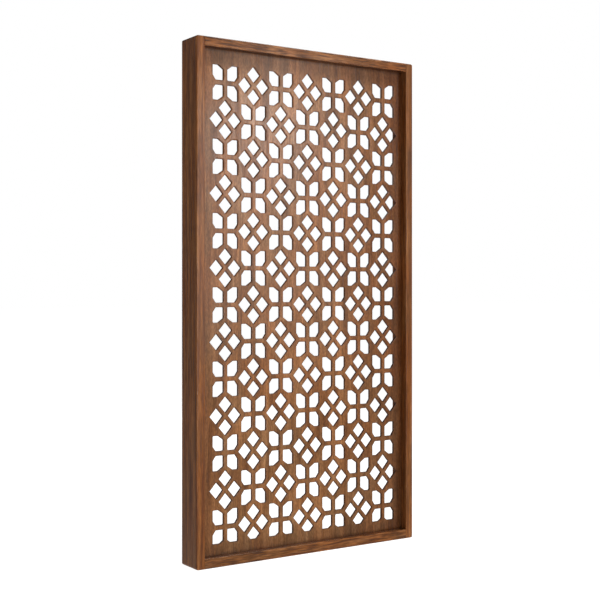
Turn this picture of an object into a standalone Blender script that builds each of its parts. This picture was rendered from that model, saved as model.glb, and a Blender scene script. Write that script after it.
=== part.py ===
"""Mashrabiya screen: a fretted lattice panel held in the grooves of a deep box frame.

The frame is four boards. The two stiles run the full height, and the two rails
fit between them, each with a stub tongue at both ends that sits in the stiles'
grooves. The panel is one sheet, cut right through with a pattern that turns
between two cells: four petals round a cross, and four diamonds round an X.

Units are metres, +Z is up, the front faces -Y, and the origin is the middle of
the underside.
"""

from math import floor, pi

import bmesh
import bpy

# The frame
HEIGHT = 1.200
WIDTH = 0.620
DEPTH = 0.072
STILE_FACE = 0.021  # width of a stile, seen from the front
TOP_RAIL_FACE = 0.021  # height of the top rail, seen from the front
BOTTOM_RAIL_FACE = 0.023
CORNER_ROUND = 0.005  # radius of the frame's four corners, seen from the front
EDGE_ROUND = 0.0025  # radius of the outer edges at the front and at the back
EDGE_SEGMENTS = 3
REBATE_WIDTH = 0.013  # of the rebate round the frame's back, cut into its inner side
REBATE_DEPTH = 0.017  # from the frame's back

# The panel and how it is held
PANEL_THICKNESS = 0.006
PANEL_RECESS = 0.019  # from the frame's front to the panel's front
GROOVE_DEPTH = 0.008
FIT_GAP = 0.0003  # left wherever two pieces meet
CUTTER_OVERRUN = 0.005  # how far a cutter stands past what it cuts

# The pattern's grid
PITCH_X = 0.0759  # width of one cell
PITCH_Z = 0.0848  # height of one cell
SIDE_BORDER = 0.015  # plain strip kept clear beside each stile
TOP_BORDER = 0.022  # plain strip kept clear below the top rail
BOTTOM_BORDER = 0.0255  # plain strip above the bottom rail, which trims the last row
PATTERN_SHIFT_X = 0.003  # the pattern sits this far off the opening's middle
PATTERN_SHIFT_Z = -0.0068

# The petal cell
UPRIGHT_BAR = 0.0102  # width of the bar between left and right petals
LEVEL_BAR = 0.0108  # height of the bar between upper and lower petals
PETAL_SIDE_WEB = 0.0047  # from a petal's outer side to the cell's edge
PETAL_END_WEB = 0.0021  # from a petal's outer end to the cell's edge
END_CUT_RUN = 0.0139  # the corner cut off beside the upright bar's end
END_CUT_RISE = 0.0096
SIDE_CUT_RUN = 0.0076  # the corner cut off beside the level bar's end
SIDE_CUT_RISE = 0.0108

# The diamond cell
DIAMOND_INSET = 0.0066  # from the cell's middle to a diamond's inner tip
DIAMOND_REACH = 0.0034  # from the cell's edge to a diamond's outer tip

# What follows from them
OPENING_WIDTH = WIDTH - 2 * STILE_FACE
OPENING_HEIGHT = HEIGHT - TOP_RAIL_FACE - BOTTOM_RAIL_FACE
OPENING_Z = BOTTOM_RAIL_FACE + OPENING_HEIGHT / 2
GROOVE_WIDTH = PANEL_THICKNESS + 2 * FIT_GAP
PANEL_Y = -DEPTH / 2 + PANEL_RECESS + PANEL_THICKNESS / 2
TONGUE_REACH = GROOVE_DEPTH - FIT_GAP


def start_scene():
    """Clears the scene and returns the collections for the pieces and for the cutters."""
    for obj in list(bpy.data.objects):
        bpy.data.objects.remove(obj, do_unlink=True)
    pieces = bpy.data.collections.new("mashrabiya_screen")
    cutters = bpy.data.collections.new("cutters")
    for collection in (pieces, cutters):
        bpy.context.scene.collection.children.link(collection)
    return pieces, cutters


def wood(name, colour, roughness):
    """A plain stained wood, with the colour in linear values."""
    material = bpy.data.materials.new(name)
    material.use_nodes = True
    shader = material.node_tree.nodes["Principled BSDF"]
    shader.inputs["Base Color"].default_value = (*colour, 1.0)
    shader.inputs["Roughness"].default_value = roughness
    shader.inputs["Metallic"].default_value = 0.0
    return material


def box_mesh(bm, size, centre=(0.0, 0.0, 0.0)):
    """Adds a box of this size round this centre to the bmesh."""
    made = bmesh.ops.create_cube(bm, size=1.0)["verts"]
    bmesh.ops.scale(bm, vec=size, verts=made)
    bmesh.ops.translate(bm, vec=centre, verts=made)


def board(name, size, location, radius_of, collection, material):
    """A board with its edges rounded to the radius that radius_of gives for each.

    radius_of is called with an edge's middle as three signs: -1, 0 or 1 along X, Y and Z.
    """
    bm = bmesh.new()
    box_mesh(bm, size)
    weight = bm.edges.layers.float.new("bevel_weight_edge")
    for edge in bm.edges:
        middle = (edge.verts[0].co + edge.verts[1].co) / 2
        signs = tuple(round(2 * at / side) for at, side in zip(middle, size))
        edge[weight] = radius_of(signs) / CORNER_ROUND
    mesh = bpy.data.meshes.new(name)
    bm.to_mesh(mesh)
    bm.free()
    obj = bpy.data.objects.new(name, mesh)
    obj.location = location
    mesh.materials.append(material)
    collection.objects.link(obj)

    bevel = obj.modifiers.new("round_edges", "BEVEL")
    bevel.limit_method = "WEIGHT"
    bevel.width = CORNER_ROUND
    bevel.segments = EDGE_SEGMENTS
    return obj


def cutter(name, boxes, collection):
    """A helper made of separate boxes, each given as its size and its centre."""
    bm = bmesh.new()
    for size, centre in boxes:
        box_mesh(bm, size, centre)
    mesh = bpy.data.meshes.new(name)
    bm.to_mesh(mesh)
    bm.free()
    obj = bpy.data.objects.new(name, mesh)
    obj.display_type = "WIRE"
    obj.hide_render = True
    collection.objects.link(obj)
    return obj


def cut(obj, tool):
    boolean = obj.modifiers.new(tool.name, "BOOLEAN")
    boolean.operation = "DIFFERENCE"
    boolean.object = tool


def rebate_cutter(cutters):
    """The space behind the panel that is wider than the opening, for all four boards."""
    depth = REBATE_DEPTH + CUTTER_OVERRUN
    size = (OPENING_WIDTH + 2 * REBATE_WIDTH, depth, OPENING_HEIGHT + 2 * REBATE_WIDTH)
    centre = (0.0, DEPTH / 2 - REBATE_DEPTH + depth / 2, OPENING_Z)
    return cutter("back_rebate", [(size, centre)], cutters)


def add_stile(side, name, rebate, pieces, cutters, material):
    """A full-height upright: side is -1 on the left and 1 on the right, seen from the front."""

    def radius_of(signs):
        if signs[1] == 0:  # the four edges that run from front to back
            return CORNER_ROUND if signs[0] == side else 0.0
        return EDGE_ROUND if signs[0] in (0, side) else 0.0

    stile = board(
        name,
        (STILE_FACE, DEPTH, HEIGHT),
        (side * (WIDTH - STILE_FACE) / 2, 0.0, HEIGHT / 2),
        radius_of,
        pieces,
        material,
    )
    inner = side * OPENING_WIDTH / 2
    depth = GROOVE_DEPTH + CUTTER_OVERRUN
    groove = cutter(
        name + "_groove",
        [
            (
                (depth, GROOVE_WIDTH, HEIGHT + 2 * CUTTER_OVERRUN),
                (inner + side * (GROOVE_DEPTH - depth / 2), PANEL_Y, HEIGHT / 2),
            )
        ],
        cutters,
    )
    cut(stile, groove)
    cut(stile, rebate)


def add_rail(side, name, face, rebate, pieces, cutters, material):
    """A level board between the stiles: side is -1 at the bottom and 1 at the top."""
    length = OPENING_WIDTH + 2 * TONGUE_REACH
    rail = board(
        name,
        (length, DEPTH, face),
        (0.0, 0.0, HEIGHT / 2 + side * (HEIGHT - face) / 2),
        lambda signs: EDGE_ROUND if signs[0] == 0 and signs[2] == side else 0.0,
        pieces,
        material,
    )

    # Each cheek that comes off leaves the tongue standing at the rail's end.
    shoulder = OPENING_WIDTH / 2 - FIT_GAP
    reach = TONGUE_REACH + FIT_GAP + CUTTER_OVERRUN
    front, back = -DEPTH / 2 - CUTTER_OVERRUN, DEPTH / 2 + CUTTER_OVERRUN
    tongue_front = PANEL_Y - PANEL_THICKNESS / 2
    tongue_back = PANEL_Y + PANEL_THICKNESS / 2
    height = face + 2 * CUTTER_OVERRUN
    cheeks = [
        (
            (reach, far - near, height),
            (end * (shoulder + reach / 2), (near + far) / 2, rail.location.z),
        )
        for end in (-1, 1)
        for near, far in ((front, tongue_front), (tongue_back, back))
    ]
    cut(rail, cutter(name + "_cheeks", cheeks, cutters))

    inner = OPENING_Z + side * OPENING_HEIGHT / 2
    depth = GROOVE_DEPTH + CUTTER_OVERRUN
    groove = (
        (length + 2 * CUTTER_OVERRUN, GROOVE_WIDTH, depth),
        (0.0, PANEL_Y, inner + side * (GROOVE_DEPTH - depth / 2)),
    )
    cut(rail, cutter(name + "_groove", [groove], cutters))
    cut(rail, rebate)


def petals():
    """The four petals round a cross, as outlines about the cell's middle."""
    inner_x, inner_z = UPRIGHT_BAR / 2, LEVEL_BAR / 2
    outer_x = PITCH_X / 2 - PETAL_SIDE_WEB
    outer_z = PITCH_Z / 2 - PETAL_END_WEB
    petal = [
        (inner_x, inner_z),
        (outer_x - SIDE_CUT_RUN, inner_z),
        (outer_x, inner_z + SIDE_CUT_RISE),
        (outer_x, outer_z),
        (inner_x + END_CUT_RUN, outer_z),
        (inner_x, outer_z - END_CUT_RISE),
    ]
    return [
        [(right * x, up * z) for x, z in petal] for right in (-1, 1) for up in (-1, 1)
    ]


def diamonds():
    """The four diamonds round an X, as outlines about the cell's middle."""
    half_x = (PITCH_X / 2 + DIAMOND_REACH - DIAMOND_INSET) / 2
    half_z = (PITCH_Z / 2 + DIAMOND_REACH - DIAMOND_INSET) / 2
    diamond = [(half_x, 0.0), (0.0, half_z), (-half_x, 0.0), (0.0, -half_z)]
    return [
        [
            (right * (half_x + DIAMOND_INSET) + x, up * (half_z + DIAMOND_INSET) + z)
            for x, z in diamond
        ]
        for right, up in ((-1, 0), (1, 0), (0, -1), (0, 1))
    ]


def trimmed(outline, axis, limit, side):
    """The part of a convex outline that lies past a straight line, on this side of it."""
    kept = []
    for here, after in zip(outline, outline[1:] + outline[:1]):
        above, next_above = (side * (point[axis] - limit) for point in (here, after))
        if above >= 0:
            kept.append(here)
        if above * next_above < 0:
            share = above / (above - next_above)
            kept.append(tuple(a + share * (b - a) for a, b in zip(here, after)))
    return kept


def pattern():
    """Every cut-out's outline on the panel, about the middle of the opening."""
    columns = floor((OPENING_WIDTH - 2 * SIDE_BORDER) / PITCH_X)
    rows = floor((OPENING_HEIGHT - TOP_BORDER - BOTTOM_BORDER) / PITCH_Z)
    limits = [
        (0, SIDE_BORDER - OPENING_WIDTH / 2, 1),
        (0, OPENING_WIDTH / 2 - SIDE_BORDER, -1),
        (1, BOTTOM_BORDER - OPENING_HEIGHT / 2, 1),
        (1, OPENING_HEIGHT / 2 - TOP_BORDER, -1),
    ]
    outlines = []
    for row in range(rows):
        for column in range(columns):
            cell_x = (column - (columns - 1) / 2) * PITCH_X + PATTERN_SHIFT_X
            cell_z = ((rows - 1) / 2 - row) * PITCH_Z + PATTERN_SHIFT_Z
            for shape in petals() if (row + column) % 2 == 0 else diamonds():
                outline = [(cell_x + x, cell_z + z) for x, z in shape]
                for axis, limit, side in limits:
                    outline = trimmed(outline, axis, limit, side)
                outlines.append(outline)
    return outlines


def add_panel(name, pieces, material):
    """The fretted sheet: a flat outline with all its cut-outs, given its thickness."""
    half_x = OPENING_WIDTH / 2 + TONGUE_REACH
    half_z = OPENING_HEIGHT / 2 + TONGUE_REACH
    edge = [(-half_x, -half_z), (half_x, -half_z), (half_x, half_z), (-half_x, half_z)]
    curve = bpy.data.curves.new(name, "CURVE")
    curve.dimensions = "2D"
    curve.fill_mode = "BOTH"
    curve.extrude = PANEL_THICKNESS / 2
    for outline in [edge, *pattern()]:
        spline = curve.splines.new("POLY")
        spline.points.add(len(outline) - 1)
        for point, (x, z) in zip(spline.points, outline):
            point.co = (x, z, 0.0, 1.0)
        spline.use_cyclic_u = True
    curve.materials.append(material)
    panel = bpy.data.objects.new(name, curve)
    panel.location = (0.0, PANEL_Y, OPENING_Z)
    panel.rotation_euler = (pi / 2, 0.0, 0.0)
    pieces.objects.link(panel)


def main():
    pieces, cutters = start_scene()
    stile_wood = wood("stile_wood", (0.235, 0.115, 0.058), 0.50)
    rail_wood = wood("rail_wood", (0.215, 0.105, 0.052), 0.50)
    panel_wood = wood("panel_wood", (0.190, 0.105, 0.060), 0.55)
    rebate = rebate_cutter(cutters)
    add_stile(-1, "stile_left", rebate, pieces, cutters, stile_wood)
    add_stile(1, "stile_right", rebate, pieces, cutters, stile_wood)
    add_rail(1, "rail_top", TOP_RAIL_FACE, rebate, pieces, cutters, rail_wood)
    add_rail(-1, "rail_bottom", BOTTOM_RAIL_FACE, rebate, pieces, cutters, rail_wood)
    add_panel("lattice_panel", pieces, panel_wood)


main()
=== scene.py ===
# The walnut mashrabiya screen in a white studio. Metres, +Z up, the front faces -Y.
import math

import bpy
import numpy as np
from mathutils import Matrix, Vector
from mathutils.geometry import delaunay_2d_cdt


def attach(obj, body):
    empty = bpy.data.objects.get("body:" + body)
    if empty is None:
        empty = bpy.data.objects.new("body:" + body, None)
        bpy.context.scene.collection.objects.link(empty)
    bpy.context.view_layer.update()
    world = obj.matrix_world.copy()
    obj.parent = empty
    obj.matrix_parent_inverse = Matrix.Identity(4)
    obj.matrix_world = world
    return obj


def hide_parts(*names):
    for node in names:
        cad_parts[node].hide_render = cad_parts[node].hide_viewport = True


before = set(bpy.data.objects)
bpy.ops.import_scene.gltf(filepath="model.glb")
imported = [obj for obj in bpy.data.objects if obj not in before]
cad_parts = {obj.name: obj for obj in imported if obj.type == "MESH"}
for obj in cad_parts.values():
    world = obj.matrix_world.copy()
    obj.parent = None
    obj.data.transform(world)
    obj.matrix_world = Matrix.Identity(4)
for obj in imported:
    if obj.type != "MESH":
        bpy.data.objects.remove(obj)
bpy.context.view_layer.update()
print("frame loaded:", ", ".join(sorted(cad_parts)))

meshSettings = {
    "crispAngle": 50,  # degrees: edges that turn by more stay crisp
    "slack": 1e-6,  # how near a point is to a line that it counts as on
    "mergeDistance": 1e-7,
}


# A board's cross-section as one closed line. Each corner is (across, deep, radius), and a
# square corner with a radius becomes the arc spot + r (1 - sin t) a + r (1 - cos t) b, with
# a and b pointing at the corners before and after it, and t running over a quarter turn.
def roundedSection(corners, steps):
    spots = np.array([corner[:2] for corner in corners])
    before, after = np.roll(spots, 1, axis=0) - spots, np.roll(spots, -1, axis=0) - spots
    before /= np.linalg.norm(before, axis=1, keepdims=True)
    after /= np.linalg.norm(after, axis=1, keepdims=True)
    t = np.linspace(0, math.pi / 2, steps)[:, None]
    parts = []
    for index, (_, _, radius) in enumerate(corners):
        arc = (1 - np.sin(t)) * before[index] + (1 - np.cos(t)) * after[index]
        parts.append(spots[index] + radius * arc if radius else spots[index][None])
    return np.concatenate(parts)


# Quads between rings of equal length, ring k to ring k + 1, closed round each ring.
def ringQuads(rings, around):
    ring = np.arange(rings - 1)[:, None] * around
    here = np.arange(around)[None]
    there = (here + 1) % around
    quads = [ring + here, ring + there, ring + around + there, ring + around + here]
    return np.stack(quads, -1).reshape(-1, 4)


# Makes a mesh from points and outward faces and puts it in its CAD node's place. Sharp
# edges stay crisp, and the eased ones are shaded round. paintedCutShade says for each point
# how deep the painted shade is there, as on a cut-out's walls and rims.
def addPiece(name, points, faces, material, node, paintedCutShade=None):
    mesh = bpy.data.meshes.new(name)
    mesh.from_pydata(points.tolist(), [], faces)
    mesh.materials.append(material)
    mesh.polygons.foreach_set("use_smooth", np.ones(len(mesh.polygons), bool))
    mesh.set_sharp_from_angle(angle=math.radians(meshSettings["crispAngle"]))
    if paintedCutShade is not None:
        shades = mesh.attributes.new("paintedCutShade", "FLOAT", "POINT")
        shades.data.foreach_set("value", paintedCutShade)
    piece = bpy.data.objects.new(name, mesh)
    bpy.context.scene.collection.objects.link(piece)
    normals = piece.modifiers.new("evenNormals", "WEIGHTED_NORMAL")
    normals.keep_sharp = True
    normals.weight = 100
    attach(piece, "root")
    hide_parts(node)
    return piece


# What every board's figure shares. A layer is its scale, its stretch along the grain and
# its octaves, and a range is the part of the noise over which the layer takes effect.
figureSettings = {
    "noiseRoughness": 0.55,
    "drift": (9, 0.4, 1),
    "fibres": (620, 0.018, 3),
    "cooler": (24, 0.3, 2),
    "pores": (1500, 0.035, 1),
    "fleckScale": 330,
    "bandOctaves": 3,
    "lineOctaves": 4,
    "fleckOctaves": 2,
    "lineRange": (0.36, 0.60),
    "fibreRange": (0.30, 0.70),
    "fleckRange": (0.32, 0.68),
    "coolerRange": (0.38, 0.64),
    "poreRange": (0.60, 0.72),
    "glossRange": (0.3, 0.7),
    "glossSwing": 0.05,  # the dark lines are rougher by this, the light wood smoother
    "cutRange": (0.7, 1.0),  # over this much paintedCutShade a face turns dull
    "cutRoughness": 0.8,
    "halfSpan": 0.3,  # the stops of "across" lie within this of the middle
    "bumpDistance": 0.0004,
}


# Walnut with a brown stain under satin lacquer. Each layer is noise on Object coordinates,
# drawn out along the grain: the position times the layer's scale, and times its stretch on
# the grain's own axis. A slow drift bends the figure sideways by up to the wander. A look
# can also tint the wood across, by stops of (x, tint), and upright, by the height where
# each tint starts, where it is full, and the tint. These tints are painted shade and painted
# sheen, and across the panel also the wood's own tone.
def walnut(name, look):
    figure = figureSettings
    material = bpy.data.materials.new(name)
    material.use_nodes = True
    nodes, links = material.node_tree.nodes, material.node_tree.links
    shader = nodes["Principled BSDF"]
    shader.inputs["Metallic"].default_value = 0.0
    shader.inputs["Specular IOR Level"].default_value = look["specular"]
    grain = "xyz".index(look["grain"])

    def feed(socket, value):
        if isinstance(value, bpy.types.NodeSocket):
            links.new(value, socket)
        else:
            socket.default_value = value

    def layer(position, scale, stretch, octaves, output="Fac"):
        mapping = nodes.new("ShaderNodeMapping")
        sizes = [scale] * 3
        sizes[grain] = scale * stretch
        feed(mapping.inputs["Vector"], position)
        feed(mapping.inputs["Scale"], sizes)
        feed(mapping.inputs["Location"], look["shift"])
        noise = nodes.new("ShaderNodeTexNoise")
        feed(noise.inputs["Vector"], mapping.outputs["Vector"])
        feed(noise.inputs["Scale"], 1.0)
        feed(noise.inputs["Detail"], octaves)
        feed(noise.inputs["Roughness"], figure["noiseRoughness"])
        return noise.outputs[output]

    # A Mix node's sockets 0, 6 and 7 are its factor and two colours, 2 is its colour out.
    def blended(kind, factor, first, second):
        mix = nodes.new("ShaderNodeMix")
        mix.data_type = "RGBA"
        mix.blend_type = kind
        feed(mix.inputs[0], factor)
        feed(mix.inputs[6], first)
        feed(mix.inputs[7], second)
        return mix.outputs[2]

    def tinted(colour, tint):
        return blended("MULTIPLY", 1.0, colour, tint)

    def ranged(value, low, high, newLow, newHigh, kind="SMOOTHSTEP"):
        remap = nodes.new("ShaderNodeMapRange")
        remap.interpolation_type = kind
        for socket, number in zip(remap.inputs, (value, low, high, newLow, newHigh)):
            feed(socket, number)
        return remap.outputs[0]

    def ramped(value, stops):
        ramp = nodes.new("ShaderNodeValToRGB")
        ramp.color_ramp.interpolation = "EASE"
        for place, _ in stops[1:-1]:
            ramp.color_ramp.elements.new(place)
        for element, (place, colour) in zip(ramp.color_ramp.elements, stops):
            element.position = place
            element.color = (*colour, 1.0)
        feed(ramp.inputs["Fac"], value)
        return ramp.outputs["Color"]

    straight = nodes.new("ShaderNodeTexCoord").outputs["Object"]
    drift = nodes.new("ShaderNodeVectorMath")
    drift.operation = "MULTIPLY_ADD"
    feed(drift.inputs[0], layer(straight, *figure["drift"], "Color"))
    feed(drift.inputs[1], [look["wander"]] * 3)
    feed(drift.inputs[2], straight)
    position = drift.outputs[0]

    tone = look["tone"]
    stops = [(place, [tone * part for part in colour]) for place, colour in look["stops"]]
    bands = layer(position, look["bandScale"], look["bandStretch"], figure["bandOctaves"])
    colour = ramped(bands, stops)
    lines = layer(position, look["lineScale"], look["lineStretch"], figure["lineOctaves"])
    share = ranged(lines, *figure["lineRange"], 0.0, 1.0)
    colour = tinted(colour, blended("MIX", share, (*look["lineTint"], 1.0), (1.0,) * 4))
    fibres = layer(position, *figure["fibres"])
    swing = look["fibreSwing"]
    colour = tinted(colour, ranged(fibres, *figure["fibreRange"], 1 - swing, 1 + swing))
    flecks = layer(position, figure["fleckScale"], look["fleckStretch"], figure["fleckOctaves"])
    swing = look["fleckSwing"]
    colour = tinted(colour, ranged(flecks, *figure["fleckRange"], 1 - swing, 1 + swing))
    share = ranged(layer(position, *figure["cooler"]), *figure["coolerRange"], 0.0, 1.0)
    colour = blended("MIX", share, colour, tinted(colour, (*look["coolTint"], 1.0)))
    pores = layer(straight, *figure["pores"])
    colour = tinted(colour, ranged(pores, *figure["poreRange"], 1.0, look["poreShade"]))
    dullest = look["roughness"] + figure["glossSwing"]
    glossiest = look["roughness"] - figure["glossSwing"]
    rough = ranged(lines, *figure["glossRange"], dullest, glossiest)

    parts = nodes.new("ShaderNodeSeparateXYZ")
    feed(parts.inputs[0], straight)
    if "across" in look:  # painted shade and sheen vary from left to right, on the panel over the wood's own tone
        span = figure["halfSpan"]
        share = ranged(parts.outputs["X"], -span, span, 0.0, 1.0, "LINEAR")
        stops = [((x + span) / (2 * span), tint) for x, tint in look["across"]]
        colour = tinted(colour, ramped(share, stops))
    for start, full, tint in look.get("upright", ()):  # and painted shade and sheen from the foot to the top
        share = ranged(parts.outputs["Z"], start, full, 0.0, 1.0)
        colour = blended("MIX", share, colour, tinted(colour, (*tint, 1.0)))
    if "paintedCutShadeTint" in look:  # painted shade darkens the faces that look into an opening, and they are duller
        cut = nodes.new("ShaderNodeAttribute")
        cut.attribute_name = "paintedCutShade"
        paintedCutShade = cut.outputs["Fac"]
        colour = blended("MIX", paintedCutShade, colour, tinted(colour, (*look["paintedCutShadeTint"], 1.0)))
        dull = (*[figure["cutRoughness"]] * 3, 1.0)
        rough = blended("MIX", ranged(paintedCutShade, *figure["cutRange"], 0.0, 1.0), rough, dull)
    feed(shader.inputs["Base Color"], colour)
    feed(shader.inputs["Roughness"], rough)
    bump = nodes.new("ShaderNodeBump")
    feed(bump.inputs["Strength"], look["bump"])
    feed(bump.inputs["Distance"], figure["bumpDistance"])
    feed(bump.inputs["Height"], fibres)
    feed(shader.inputs["Normal"], bump.outputs["Normal"])
    return material


frameSettings = {
    "height": 1.200,
    "width": 0.620,
    "depth": 0.072,
    "stileFace": 0.021,
    "topRailFace": 0.021,
    "bottomRailFace": 0.023,
    "cornerRadius": 0.005,
    "edgeRadius": 0.0025,
    "innerRadius": 0.0009,  # easing along the opening's own edges
    "jointRadius": 0.0005,  # easing where a rail meets a stile
    "rebateWidth": 0.013,
    "rebateDepth": 0.017,
    "grooveDepth": 0.008,
    "fitGap": 0.0003,
    "panelFront": -0.017,
    "panelBack": -0.011,
    "arcSteps": 7,  # points on each rounded edge
    "jointSteps": 4,  # and on the easing of a rail's end
}

stileLook = {
    "grain": "z",
    "shift": (0.3, 1.7, 0.2),
    "tone": 1.0,
    "wander": 0.006,
    "bandScale": 75,
    "bandStretch": 0.05,
    "lineScale": 190,
    "lineStretch": 0.035,
    "stops": (
        (0.30, (0.285, 0.088, 0.019)),
        (0.48, (0.370, 0.125, 0.031)),
        (0.64, (0.445, 0.165, 0.050)),
    ),
    "lineTint": (0.56, 0.49, 0.42),
    "fibreSwing": 0.14,
    "fleckStretch": 0.12,
    "fleckSwing": 0.17,
    "coolTint": (0.93, 1.02, 1.12),
    "poreShade": 0.70,
    "roughness": 0.26,
    "specular": 0.35,
    "bump": 0.06,
}

# The right board is a little darker in tone, with painted shade over its top and a painted cool
# sheen at its foot.
rightStileLook = dict(
    stileLook,
    tone=0.94,
    shift=(5.2, 0.6, 3.9),
    upright=((0.70, 1.05, (0.79, 0.81, 0.88)), (0.50, 0.15, (1.03, 1.08, 1.22))),
)

railLook = dict(
    stileLook,
    grain="x",
    shift=(2.1, 0.4, 5.3),
    tone=1.0,
    bandScale=110,
    bandStretch=0.09,
    lineScale=260,
    lineStretch=0.07,
    lineTint=(0.36, 0.30, 0.26),
    # painted sheen brightens and cools the rails' middle, and painted shade darkens their ends
    across=(
        (-0.289, (0.84, 0.87, 0.94)),
        (-0.180, (0.90, 0.93, 1.00)),
        (0.000, (1.10, 1.15, 1.24)),
        (0.180, (0.95, 0.97, 1.06)),
        (0.289, (0.89, 0.91, 1.00)),
    ),
    fleckSwing=0.30,
    # painted shade on the rails' faces inside the opening
    paintedCutShadeTint=(0.36, 0.30, 0.25),
)


# Corners of a board's section, from the opening's front edge round by the outer side.
# across is 0 at the opening and grows outwards, deep runs from front to back. Where there
# is no rebate, its corners lie on the board's inner side, so that the count stays the same.
def boardCorners(face, settings, rebated=True):
    front, back = -settings["depth"] / 2, settings["depth"] / 2
    panelFront, panelBack = settings["panelFront"], settings["panelBack"]
    grooveFront, grooveBack = panelFront - settings["fitGap"], panelBack + settings["fitGap"]
    floor, shelf = settings["grooveDepth"], back - settings["rebateDepth"]
    step, stepDeep = (settings["rebateWidth"], shelf) if rebated else (0.0, (shelf + back) / 2)
    return [
        (0.0, front, settings["innerRadius"]),
        (face, front, settings["edgeRadius"]),
        (face, panelFront, 0),
        (face, panelBack, 0),
        (face, back, settings["edgeRadius"]),
        (step, back, settings["innerRadius"]),
        (step, stepDeep, 0),
        (0.0, shelf, settings["innerRadius"]),
        (0.0, grooveBack, 0),
        (floor, grooveBack, 0),
        (floor, panelBack, 0),
        (floor, panelFront, 0),
        (floor, grooveFront, 0),
        (0.0, grooveFront, 0),
    ]


# How far a quarter round stands back at a distance from the board's end:
# r - sqrt(r^2 - (r - distance)^2), and nothing further in than r.
def endInset(distance, radius):
    short = np.clip(radius - distance, 0, radius)
    return radius - np.sqrt(radius**2 - short**2)


# Places along a board of this length that follow the end's rounds in even angles.
def ringPlaces(length, radii, steps):
    turn = np.linspace(0, math.pi / 2, steps)
    ends = np.unique(np.round(np.concatenate([r * (1 - np.cos(turn)) for r in radii]), 7))
    return np.concatenate([ends, length - ends[::-1]])


# A stile is its section carried up Z. Its rebate stops level with the rails' rebates. Near
# an end its outer side moves in by the corner's round, and its front and back by the edge's.
def addStile(side, name, node, material, settings):
    face, depth, height = (settings[key] for key in ("stileFace", "depth", "height"))
    corner, edge = settings["cornerRadius"], settings["edgeRadius"]
    plain, rebated = (
        roundedSection(boardCorners(face, settings, cutBack), settings["arcSteps"])
        for cutBack in (False, True)
    )
    low = settings["bottomRailFace"] - settings["rebateWidth"]
    high = height - settings["topRailFace"] + settings["rebateWidth"]
    steps = (low - settings["jointRadius"], low, high, high + settings["jointRadius"])
    rings = ringPlaces(height, (corner, edge), settings["arcSteps"])
    places = np.sort(np.concatenate([rings, steps]))
    toEnd = np.minimum(places, height - places)[:, None]
    isPlain = ((places < low) | (places > high))[:, None]
    across = np.where(isPlain, plain[None, :, 0], rebated[None, :, 0])
    deep = np.where(isPlain, plain[None, :, 1], rebated[None, :, 1])
    isOuter = across > face - edge - meshSettings["slack"]
    isFrontOrBack = np.abs(deep) > depth / 2 - edge - meshSettings["slack"]
    across = across - isOuter * endInset(toEnd, corner)
    deep = deep - isFrontOrBack * np.sign(deep) * endInset(toEnd, edge)
    x = side * (settings["width"] / 2 - face + across)
    z = np.broadcast_to(places[:, None], x.shape)
    points = np.stack([x, deep, z], -1).reshape(-1, 3)
    around = len(plain)
    faces = ringQuads(len(places), around).tolist()
    faces.append(list(range(around))[::-1])
    faces.append(list(range(len(points) - around, len(points))))
    if side < 0:
        faces = [loop[::-1] for loop in faces]
    return addPiece(name, points, faces, material, node)


# A rail is its section carried along X between the stiles, with its edges eased at both
# shoulders. The strip between the groove and the outer side runs on as a tongue.
def addRail(side, name, node, face, material, settings):
    depth, easing, slack = settings["depth"], settings["jointRadius"], meshSettings["slack"]
    section = roundedSection(boardCorners(face, settings), settings["arcSteps"])
    length = settings["width"] - 2 * (settings["stileFace"] + settings["fitGap"])
    places = ringPlaces(length, (easing,), settings["jointSteps"])
    toEnd = np.minimum(places, length - places)[:, None]
    across, deep = section[None, :, 0], section[None, :, 1]
    isFrontOrBack = np.abs(deep) > depth / 2 - settings["edgeRadius"] - slack
    deep = deep - isFrontOrBack * np.sign(deep) * endInset(toEnd, easing)
    x = np.broadcast_to((places - length / 2)[:, None], deep.shape)
    inner = settings["height"] - face if side > 0 else face
    z = np.broadcast_to(inner + side * across, deep.shape)
    points = np.stack([x, deep, z], -1).reshape(-1, 3)
    around = len(section)
    faces = ringQuads(len(places), around).tolist()
    # Painted shade goes on the faces inside the opening from the panel's front on: the bottom
    # rail's ledge and the top rail's underside.
    fromPanel = section[:, 1] > settings["panelFront"] - 2 * settings["fitGap"]
    shadedInOpening = (section[:, 0] < slack) & fromPanel
    paintedCutShade = np.tile(shadedInOpening.astype(float), len(places))

    # The tongue springs from four points of the section: two outside, two in the groove.
    panelFront, panelBack = settings["panelFront"], settings["panelBack"]
    floor = settings["grooveDepth"]
    spots = [(face, panelFront), (face, panelBack), (floor, panelBack), (floor, panelFront)]
    roots = [int(np.argmin(np.hypot(*(section - spot).T))) for spot in spots]
    frontCheek = [index % around for index in range(roots[3], around + roots[0] + 1)]
    backCheek = list(range(roots[1], roots[2] + 1))
    for end, first in ((-1, 0), (1, len(points) - around)):
        carriers = [first + index for index in roots]
        tips = list(range(len(points), len(points) + 4))
        points = np.concatenate([points, points[carriers] + (end * settings["grooveDepth"], 0, 0)])
        loops = [[first + index for index in cheek] for cheek in (frontCheek, backCheek)]
        loops.append(tips)
        loops += [[carriers[k], carriers[k - 3], tips[k - 3], tips[k]] for k in range(4)]
        faces += loops if end > 0 else [loop[::-1] for loop in loops]
    if side > 0:
        faces = [loop[::-1] for loop in faces]
    paintedCutShade = np.concatenate([paintedCutShade, np.zeros(len(points) - len(paintedCutShade))])
    return addPiece(name, points, faces, material, node, paintedCutShade)


leftWood = walnut("leftStileWood", stileLook)
rightWood = walnut("rightStileWood", rightStileLook)
railWood = walnut("railWood", railLook)
addStile(-1, "stileLeft", "stile_left", leftWood, frameSettings)
addStile(1, "stileRight", "stile_right", rightWood, frameSettings)
topFace, bottomFace = frameSettings["topRailFace"], frameSettings["bottomRailFace"]
addRail(1, "railTop", "rail_top", topFace, railWood, frameSettings)
addRail(-1, "railBottom", "rail_bottom", bottomFace, railWood, frameSettings)
print("frame boards made")


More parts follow.
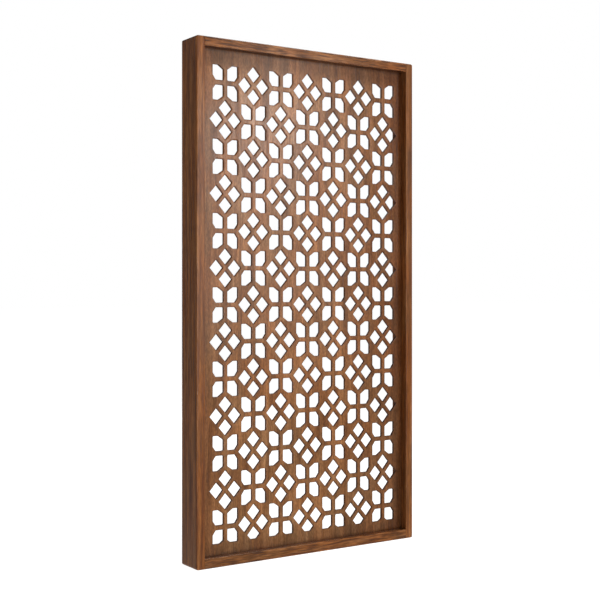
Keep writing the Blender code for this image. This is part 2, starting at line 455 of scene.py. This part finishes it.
panelSettings = {
    "columns": 7,
    "rows": 13,
    "pitch": (0.0759, 0.0848),
    "middle": (0.003, 0.5942),
    "bars": (0.0102, 0.0108),  # upright and level, between the petals of a cell
    "petalWebs": (0.0047, 0.0021),  # from a petal to the cell's side and to its end
    "endCut": (0.0139, 0.0096),  # the corner cut off beside the upright bar's end
    "sideCut": (0.0076, 0.0108),  # the corner cut off beside the level bar's end
    "diamondInset": 0.0066,
    "diamondReach": 0.0034,
    "lowestCut": 0.0485,  # nothing is cut below this height
    "petalRadius": 0.0016,
    "diamondRadius": 0.0007,
    "bluntRadius": 0.0030,  # where the lowest diamonds lose their tips
    "easing": 0.0005,  # of the rims
    "paintedShadeWidth": 0.0022,  # painted shade darkens the face towards each rim over this width
    "rimPaintedShade": 0.6,  # how dark the painted shade has become at the eased rim, 1 on the wall
    "halfWidth": 0.2967,  # of the whole sheet, with what the grooves hide
    "lowEdge": 0.0153,
    "highEdge": 1.1867,
    "front": -0.017,
    "back": -0.011,
}

panelLook = {
    "grain": "z",
    "shift": (4.6, 0.9, 3.1),
    "tone": 1.0,
    "wander": 0.010,
    "bandScale": 50,
    "bandStretch": 0.10,
    "lineScale": 170,
    "lineStretch": 0.06,
    "stops": (
        (0.30, (0.262, 0.094, 0.028)),
        (0.48, (0.400, 0.155, 0.050)),
        (0.64, (0.530, 0.218, 0.078)),
    ),
    "lineTint": (0.76, 0.71, 0.66),
    "fibreSwing": 0.10,
    "fleckStretch": 0.40,
    "fleckSwing": 0.20,
    "coolTint": (0.90, 1.02, 1.16),
    "poreShade": 0.72,
    # painted shade darkens the sheet towards both stiles, most by the right one, over a step down
    # in the veneer's own tone past x 0.1
    "across": (
        (-0.289, (0.78, 0.76, 0.74)),
        (-0.220, (0.93, 0.93, 0.93)),
        (-0.110, (1.00, 1.00, 1.00)),
        (0.095, (0.97, 0.97, 0.97)),
        (0.140, (0.80, 0.78, 0.78)),
        (0.215, (0.76, 0.71, 0.69)),
        (0.262, (0.57, 0.50, 0.46)),
        (0.289, (0.40, 0.33, 0.29)),
    ),
    "upright": (
        # painted shade along the foot, where the bottom rail's ledge shades the panel
        (0.070, 0.040, (0.80, 0.79, 0.78)),
        (0.031, 0.023, (0.55, 0.50, 0.46)),
        # painted shadow under the top rail
        (1.125, 1.165, (0.76, 0.75, 0.75)),
        (1.168, 1.178, (0.50, 0.45, 0.41)),
        (0.500, 0.200, (1.00, 1.07, 1.14)),  # painted sheen: the lower half is a little cooler
    ),
    # painted shade on the cut-outs' walls and rims
    "paintedCutShadeTint": (0.52, 0.40, 0.30),
    "roughness": 0.24,
    "specular": 0.35,
    "bump": 0.06,
}


# Cell middles of one kind, as (n, 2): the pattern's middle plus (column, row) * pitch.
def cellMiddles(kind, settings):
    column, row = np.meshgrid(np.arange(settings["columns"]), np.arange(settings["rows"]))
    steps = np.stack([column - column.mean(), row.mean() - row], -1)
    return (settings["middle"] + steps * settings["pitch"])[(column + row) % 2 == kind]


# Four petals round a cross: the quarter outline times (right, up), with the order turned
# where the two signs differ, so that every outline runs anticlockwise.
def petalOutlines(settings):
    insideX, insideZ = np.array(settings["bars"]) / 2
    outsideX, outsideZ = np.array(settings["pitch"]) / 2 - settings["petalWebs"]
    (endRun, endRise), (sideRun, sideRise) = settings["endCut"], settings["sideCut"]
    quarter = [
        (insideX, insideZ),
        (outsideX - sideRun, insideZ),
        (outsideX, insideZ + sideRise),
        (outsideX, outsideZ),
        (insideX + endRun, outsideZ),
        (insideX, outsideZ - endRise),
    ]
    signs = [(-1, -1), (-1, 1), (1, -1), (1, 1)]
    four = [np.array(quarter)[:: right * up] * (right, up) for right, up in signs]
    return (cellMiddles(0, settings)[:, None, None] + four).reshape(-1, 6, 2)


# Four diamonds round an X: middle + direction * (half + inset) + half * corner.
def diamondOutlines(settings):
    inset = settings["diamondInset"]
    half = (np.array(settings["pitch"]) / 2 + settings["diamondReach"] - inset) / 2
    around = np.array([(1, 0), (0, 1), (-1, 0), (0, -1)])
    four = (around * (half + inset))[:, None] + (around * half)[None]
    return (cellMiddles(1, settings)[:, None, None] + four).reshape(-1, 4, 2)


# Petals that pass the lowest cut stop at it: a point below it slides up along the edge to
# its higher neighbour, to point + share * (neighbour - point).
def stoppedOutlines(petals, lowest):
    before, after = np.roll(petals, 1, axis=1), np.roll(petals, -1, axis=1)
    higher = np.where(before[..., 1:] > after[..., 1:], before, after)
    isBelow = petals[..., 1:] < lowest
    rise = np.where(isBelow, higher[..., 1:] - petals[..., 1:], 1.0)
    share = (lowest - petals[..., 1:]) / rise
    return np.where(isBelow, petals + share * (higher - petals), petals)


# Diamonds whose tip passes the lowest cut lose it along a level line: the tip gives way to
# tip + share * (neighbour - tip) on either side.
def bluntOutlines(diamonds, lowest):
    right, top, left, tip = np.moveaxis(diamonds, 1, 0)
    share = ((lowest - tip[:, 1]) / (left[:, 1] - tip[:, 1]))[:, None]
    return np.stack([right, top, left, tip + share * (left - tip), tip + share * (right - tip)], 1)


# Rounds the corners of convex outlines, each with two points on its arc. An arc's centre
# is corner - radius / cos(half turn) along the bisector. Returns centres, directions and
# radii, so that centre + (radius + grow) * direction is the outline grown by that much.
def roundedOutlines(outlines, radii):
    before = outlines - np.roll(outlines, 1, axis=1)
    after = np.roll(outlines, -1, axis=1) - outlines
    startAngle = np.arctan2(-before[..., 0], before[..., 1])
    turn = (np.arctan2(-after[..., 0], after[..., 1]) - startAngle) % (2 * math.pi)
    bisector = startAngle + turn / 2
    outward = np.stack([np.cos(bisector), np.sin(bisector)], -1)
    radii = np.broadcast_to(radii, turn.shape)
    centres = outlines - outward * (radii / np.cos(turn / 2))[..., None]
    angles = startAngle[..., None] + turn[..., None] * (0.0, 1.0)
    count = len(outlines)
    directions = np.stack([np.cos(angles), np.sin(angles)], -1).reshape(count, -1, 2)
    return np.repeat(centres, 2, axis=1), directions, np.repeat(radii, 2, axis=1)[..., None]


# One face of the sheet as triangles between the rims and the sheet's edge. The cut-outs
# are convex, so a triangle with all its points on one rim lies in a cut-out and goes.
def filledFace(points, rims):
    indices = np.concatenate(rims)
    sizes = np.array([len(rim) for rim in rims])
    rimOf = np.repeat(np.arange(len(rims)), sizes)
    starts = (np.cumsum(sizes) - sizes)[rimOf]
    here = np.arange(len(indices))
    edges = np.stack([here, starts + (here - starts + 1) % sizes[rimOf]], -1)
    flat = [Vector(spot) for spot in points[indices][:, (0, 2)].tolist()]
    fill = delaunay_2d_cdt(flat, edges.tolist(), [], 1, meshSettings["mergeDistance"])
    triangles, origins = fill[2], fill[3]
    triangles = np.array([group[0] for group in origins])[np.array(triangles)]
    inCut = (rimOf[triangles] == rimOf[triangles][:, :1]).all(1)
    return indices[triangles[~inCut]]


# The pierced sheet. Each cut-out is six rings from front to back: where the painted shade
# begins, the eased rim, the wall, and the same again, each at its own depth and growth.
def addPanel(name, node, material, settings):
    easing, front, back = settings["easing"], settings["front"], settings["back"]
    wide = easing + settings["paintedShadeWidth"]
    depths = np.array([front, front, front + easing, back - easing, back, back])
    grows = np.array([wide, easing, 0.0, 0.0, easing, wide])
    shades = np.array([0.0, settings["rimPaintedShade"], 1.0, 1.0, settings["rimPaintedShade"], 0.0])
    lowest, diamonds = settings["lowestCut"], diamondOutlines(settings)
    isBlunt = diamonds[:, 3, 1] < lowest
    plain, blunt = settings["diamondRadius"], settings["bluntRadius"]
    families = (
        (stoppedOutlines(petalOutlines(settings), lowest), settings["petalRadius"]),
        (diamonds[~isBlunt], plain),
        (bluntOutlines(diamonds[isBlunt], lowest), (plain, plain, plain, blunt, blunt)),
    )
    points, paintedCutShade, walls, frontRims, backRims = [], [], [], [], []
    total = 0
    for outlines, radii in families:
        centres, directions, radii = roundedOutlines(outlines, radii)
        flat = centres[:, None] + (radii[:, None] + grows[:, None, None]) * directions[:, None]
        deep = np.broadcast_to(depths[:, None], flat.shape[:3])
        points.append(np.stack([flat[..., 0], deep, flat[..., 1]], -1).reshape(-1, 3))
        paintedCutShade.append(np.broadcast_to(shades[:, None], flat.shape[:3]).ravel())
        count, rings, around = flat.shape[:3]
        starts = total + np.arange(count)[:, None] * rings * around
        walls.append((starts[:, None] + ringQuads(rings, around)).reshape(-1, 4))
        frontRims += list(starts + np.arange(around))
        backRims += list(starts + (rings - 1) * around + np.arange(around))
        total += count * rings * around
    x, low, high = (settings[key] for key in ("halfWidth", "lowEdge", "highEdge"))
    edge = np.array([(-x, low), (x, low), (x, high), (-x, high)])
    for depth in (front, back):
        points.append(np.insert(edge, 1, depth, axis=1))
        paintedCutShade.append(np.zeros(4))
    points = np.concatenate(points)
    frontEdge, backEdge = total + np.arange(4), total + 4 + np.arange(4)
    sides = np.stack([frontEdge, backEdge, np.roll(backEdge, -1), np.roll(frontEdge, -1)], -1)
    frontFace = filledFace(points, frontRims + [frontEdge])
    backFace = filledFace(points, backRims + [backEdge])[:, ::-1]
    faces = [part.tolist() for part in (frontFace, backFace, sides, *walls)]
    paintedCutShade = np.concatenate(paintedCutShade)
    return addPiece(name, points, sum(faces, []), material, node, paintedCutShade)


addPanel("latticePanel", "lattice_panel", walnut("panelWood", panelLook), panelSettings)
print("lattice panel made")


studioSettings = {
    "floorSize": 60.0,
    "floorTone": 0.5,
    "floorRoughness": 0.9,
    "floorGlow": 0.985,
    "sky": ((0.12, 0.90), (0.47, 0.155), (0.90, 0.02)),  # brightness, from below upwards
    "lightAim": (0.0, 0.0, 0.7),
    "lights": (
        # name, place, side of its square, watts
        ("key", (1.50, -1.05, 3.32), 1.3, 50.0),
        ("front", (1.70, -2.98, 1.50), 0.5, 9.6),
        ("frontLow", (1.66, -2.98, 0.80), 0.9, 6.0),
        ("fill", (0.20, -3.20, 0.35), 1.3, 38.0),
        ("left", (-3.06, -0.82, 0.80), 1.3, 4.2),
        ("backLeft", (-2.12, 1.78, 2.30), 1.3, 3.6),
        ("back", (0.10, 3.15, 0.65), 1.3, 20.0),
    ),
}

cameraSettings = {
    "place": (-1.53094, -2.29268, 0.63449),
    "turn": 33.5848,  # degrees to the right of straight ahead
    "lens": 68.557,
    "sensor": 36.0,
    "shift": -0.02118,
}


# The floor is seen by the camera only, so that it throws no light up at the wood.
def addFloor(settings):
    half = settings["floorSize"] / 2
    corners = [(-half, -half, 0), (half, -half, 0), (half, half, 0), (-half, half, 0)]
    mesh = bpy.data.meshes.new("floor")
    mesh.from_pydata(corners, [], [(0, 1, 2, 3)])
    material = bpy.data.materials.new("paleFloor")
    material.use_nodes = True
    shader = material.node_tree.nodes["Principled BSDF"]
    shader.inputs["Base Color"].default_value = (*[settings["floorTone"]] * 3, 1.0)
    shader.inputs["Roughness"].default_value = settings["floorRoughness"]
    shader.inputs["Specular IOR Level"].default_value = 0.0
    shader.inputs["Emission Color"].default_value = (1.0, 1.0, 1.0, 1.0)
    shader.inputs["Emission Strength"].default_value = settings["floorGlow"]
    mesh.materials.append(material)
    floor = bpy.data.objects.new("floor", mesh)
    bpy.context.scene.collection.objects.link(floor)
    floor.visible_diffuse = False
    floor.visible_glossy = False


# The sky is white to the camera. To the wood it is a dim dome, and brightest from below, as
# if a white floor threw the light back.
def addSky(settings):
    world = bpy.data.worlds.new("studioSky")
    world.use_nodes = True
    bpy.context.scene.world = world
    nodes, links = world.node_tree.nodes, world.node_tree.links
    nodes.clear()
    coordinates = nodes.new("ShaderNodeTexCoord")
    parts = nodes.new("ShaderNodeSeparateXYZ")
    remap = nodes.new("ShaderNodeMapRange")
    remap.inputs[1].default_value = -1.0
    ramp = nodes.new("ShaderNodeValToRGB")
    ramp.color_ramp.elements.new(0.5)
    for element, (place, brightness) in zip(ramp.color_ramp.elements, settings["sky"]):
        element.position = place
        element.color = (*[brightness] * 3, 1.0)
    dome = nodes.new("ShaderNodeBackground")
    white = nodes.new("ShaderNodeBackground")
    white.inputs["Color"].default_value = (1.0, 1.0, 1.0, 1.0)
    rays = nodes.new("ShaderNodeLightPath")
    mix = nodes.new("ShaderNodeMixShader")
    output = nodes.new("ShaderNodeOutputWorld")
    links.new(coordinates.outputs["Generated"], parts.inputs[0])
    links.new(parts.outputs["Z"], remap.inputs[0])
    links.new(remap.outputs[0], ramp.inputs["Fac"])
    links.new(ramp.outputs["Color"], dome.inputs["Color"])
    links.new(rays.outputs["Is Camera Ray"], mix.inputs[0])
    links.new(dome.outputs[0], mix.inputs[1])
    links.new(white.outputs[0], mix.inputs[2])
    links.new(mix.outputs[0], output.inputs["Surface"])


def addLight(name, place, side, watts, aim):
    light = bpy.data.lights.new(name, "AREA")
    light.shape = "SQUARE"
    light.size = side
    light.energy = watts
    lamp = bpy.data.objects.new(name, light)
    lamp.location = place
    lamp.rotation_euler = (Vector(aim) - Vector(place)).to_track_quat("-Z", "Y").to_euler()
    bpy.context.scene.collection.objects.link(lamp)


def addCamera(settings):
    camera = bpy.data.cameras.new("camera")
    camera.lens, camera.sensor_width = settings["lens"], settings["sensor"]
    camera.shift_y = settings["shift"]
    eye = bpy.data.objects.new("camera", camera)
    eye.location = settings["place"]
    turn = math.radians(settings["turn"])
    ahead = Vector((math.sin(turn), math.cos(turn), 0))
    eye.rotation_euler = ahead.to_track_quat("-Z", "Y").to_euler()
    bpy.context.scene.collection.objects.link(eye)
    bpy.context.scene.camera = eye


addFloor(studioSettings)
addSky(studioSettings)
for light in studioSettings["lights"]:
    addLight(*light, studioSettings["lightAim"])
addCamera(cameraSettings)
bpy.context.scene.view_settings.view_transform = "Standard"
print("studio, lights and camera set")
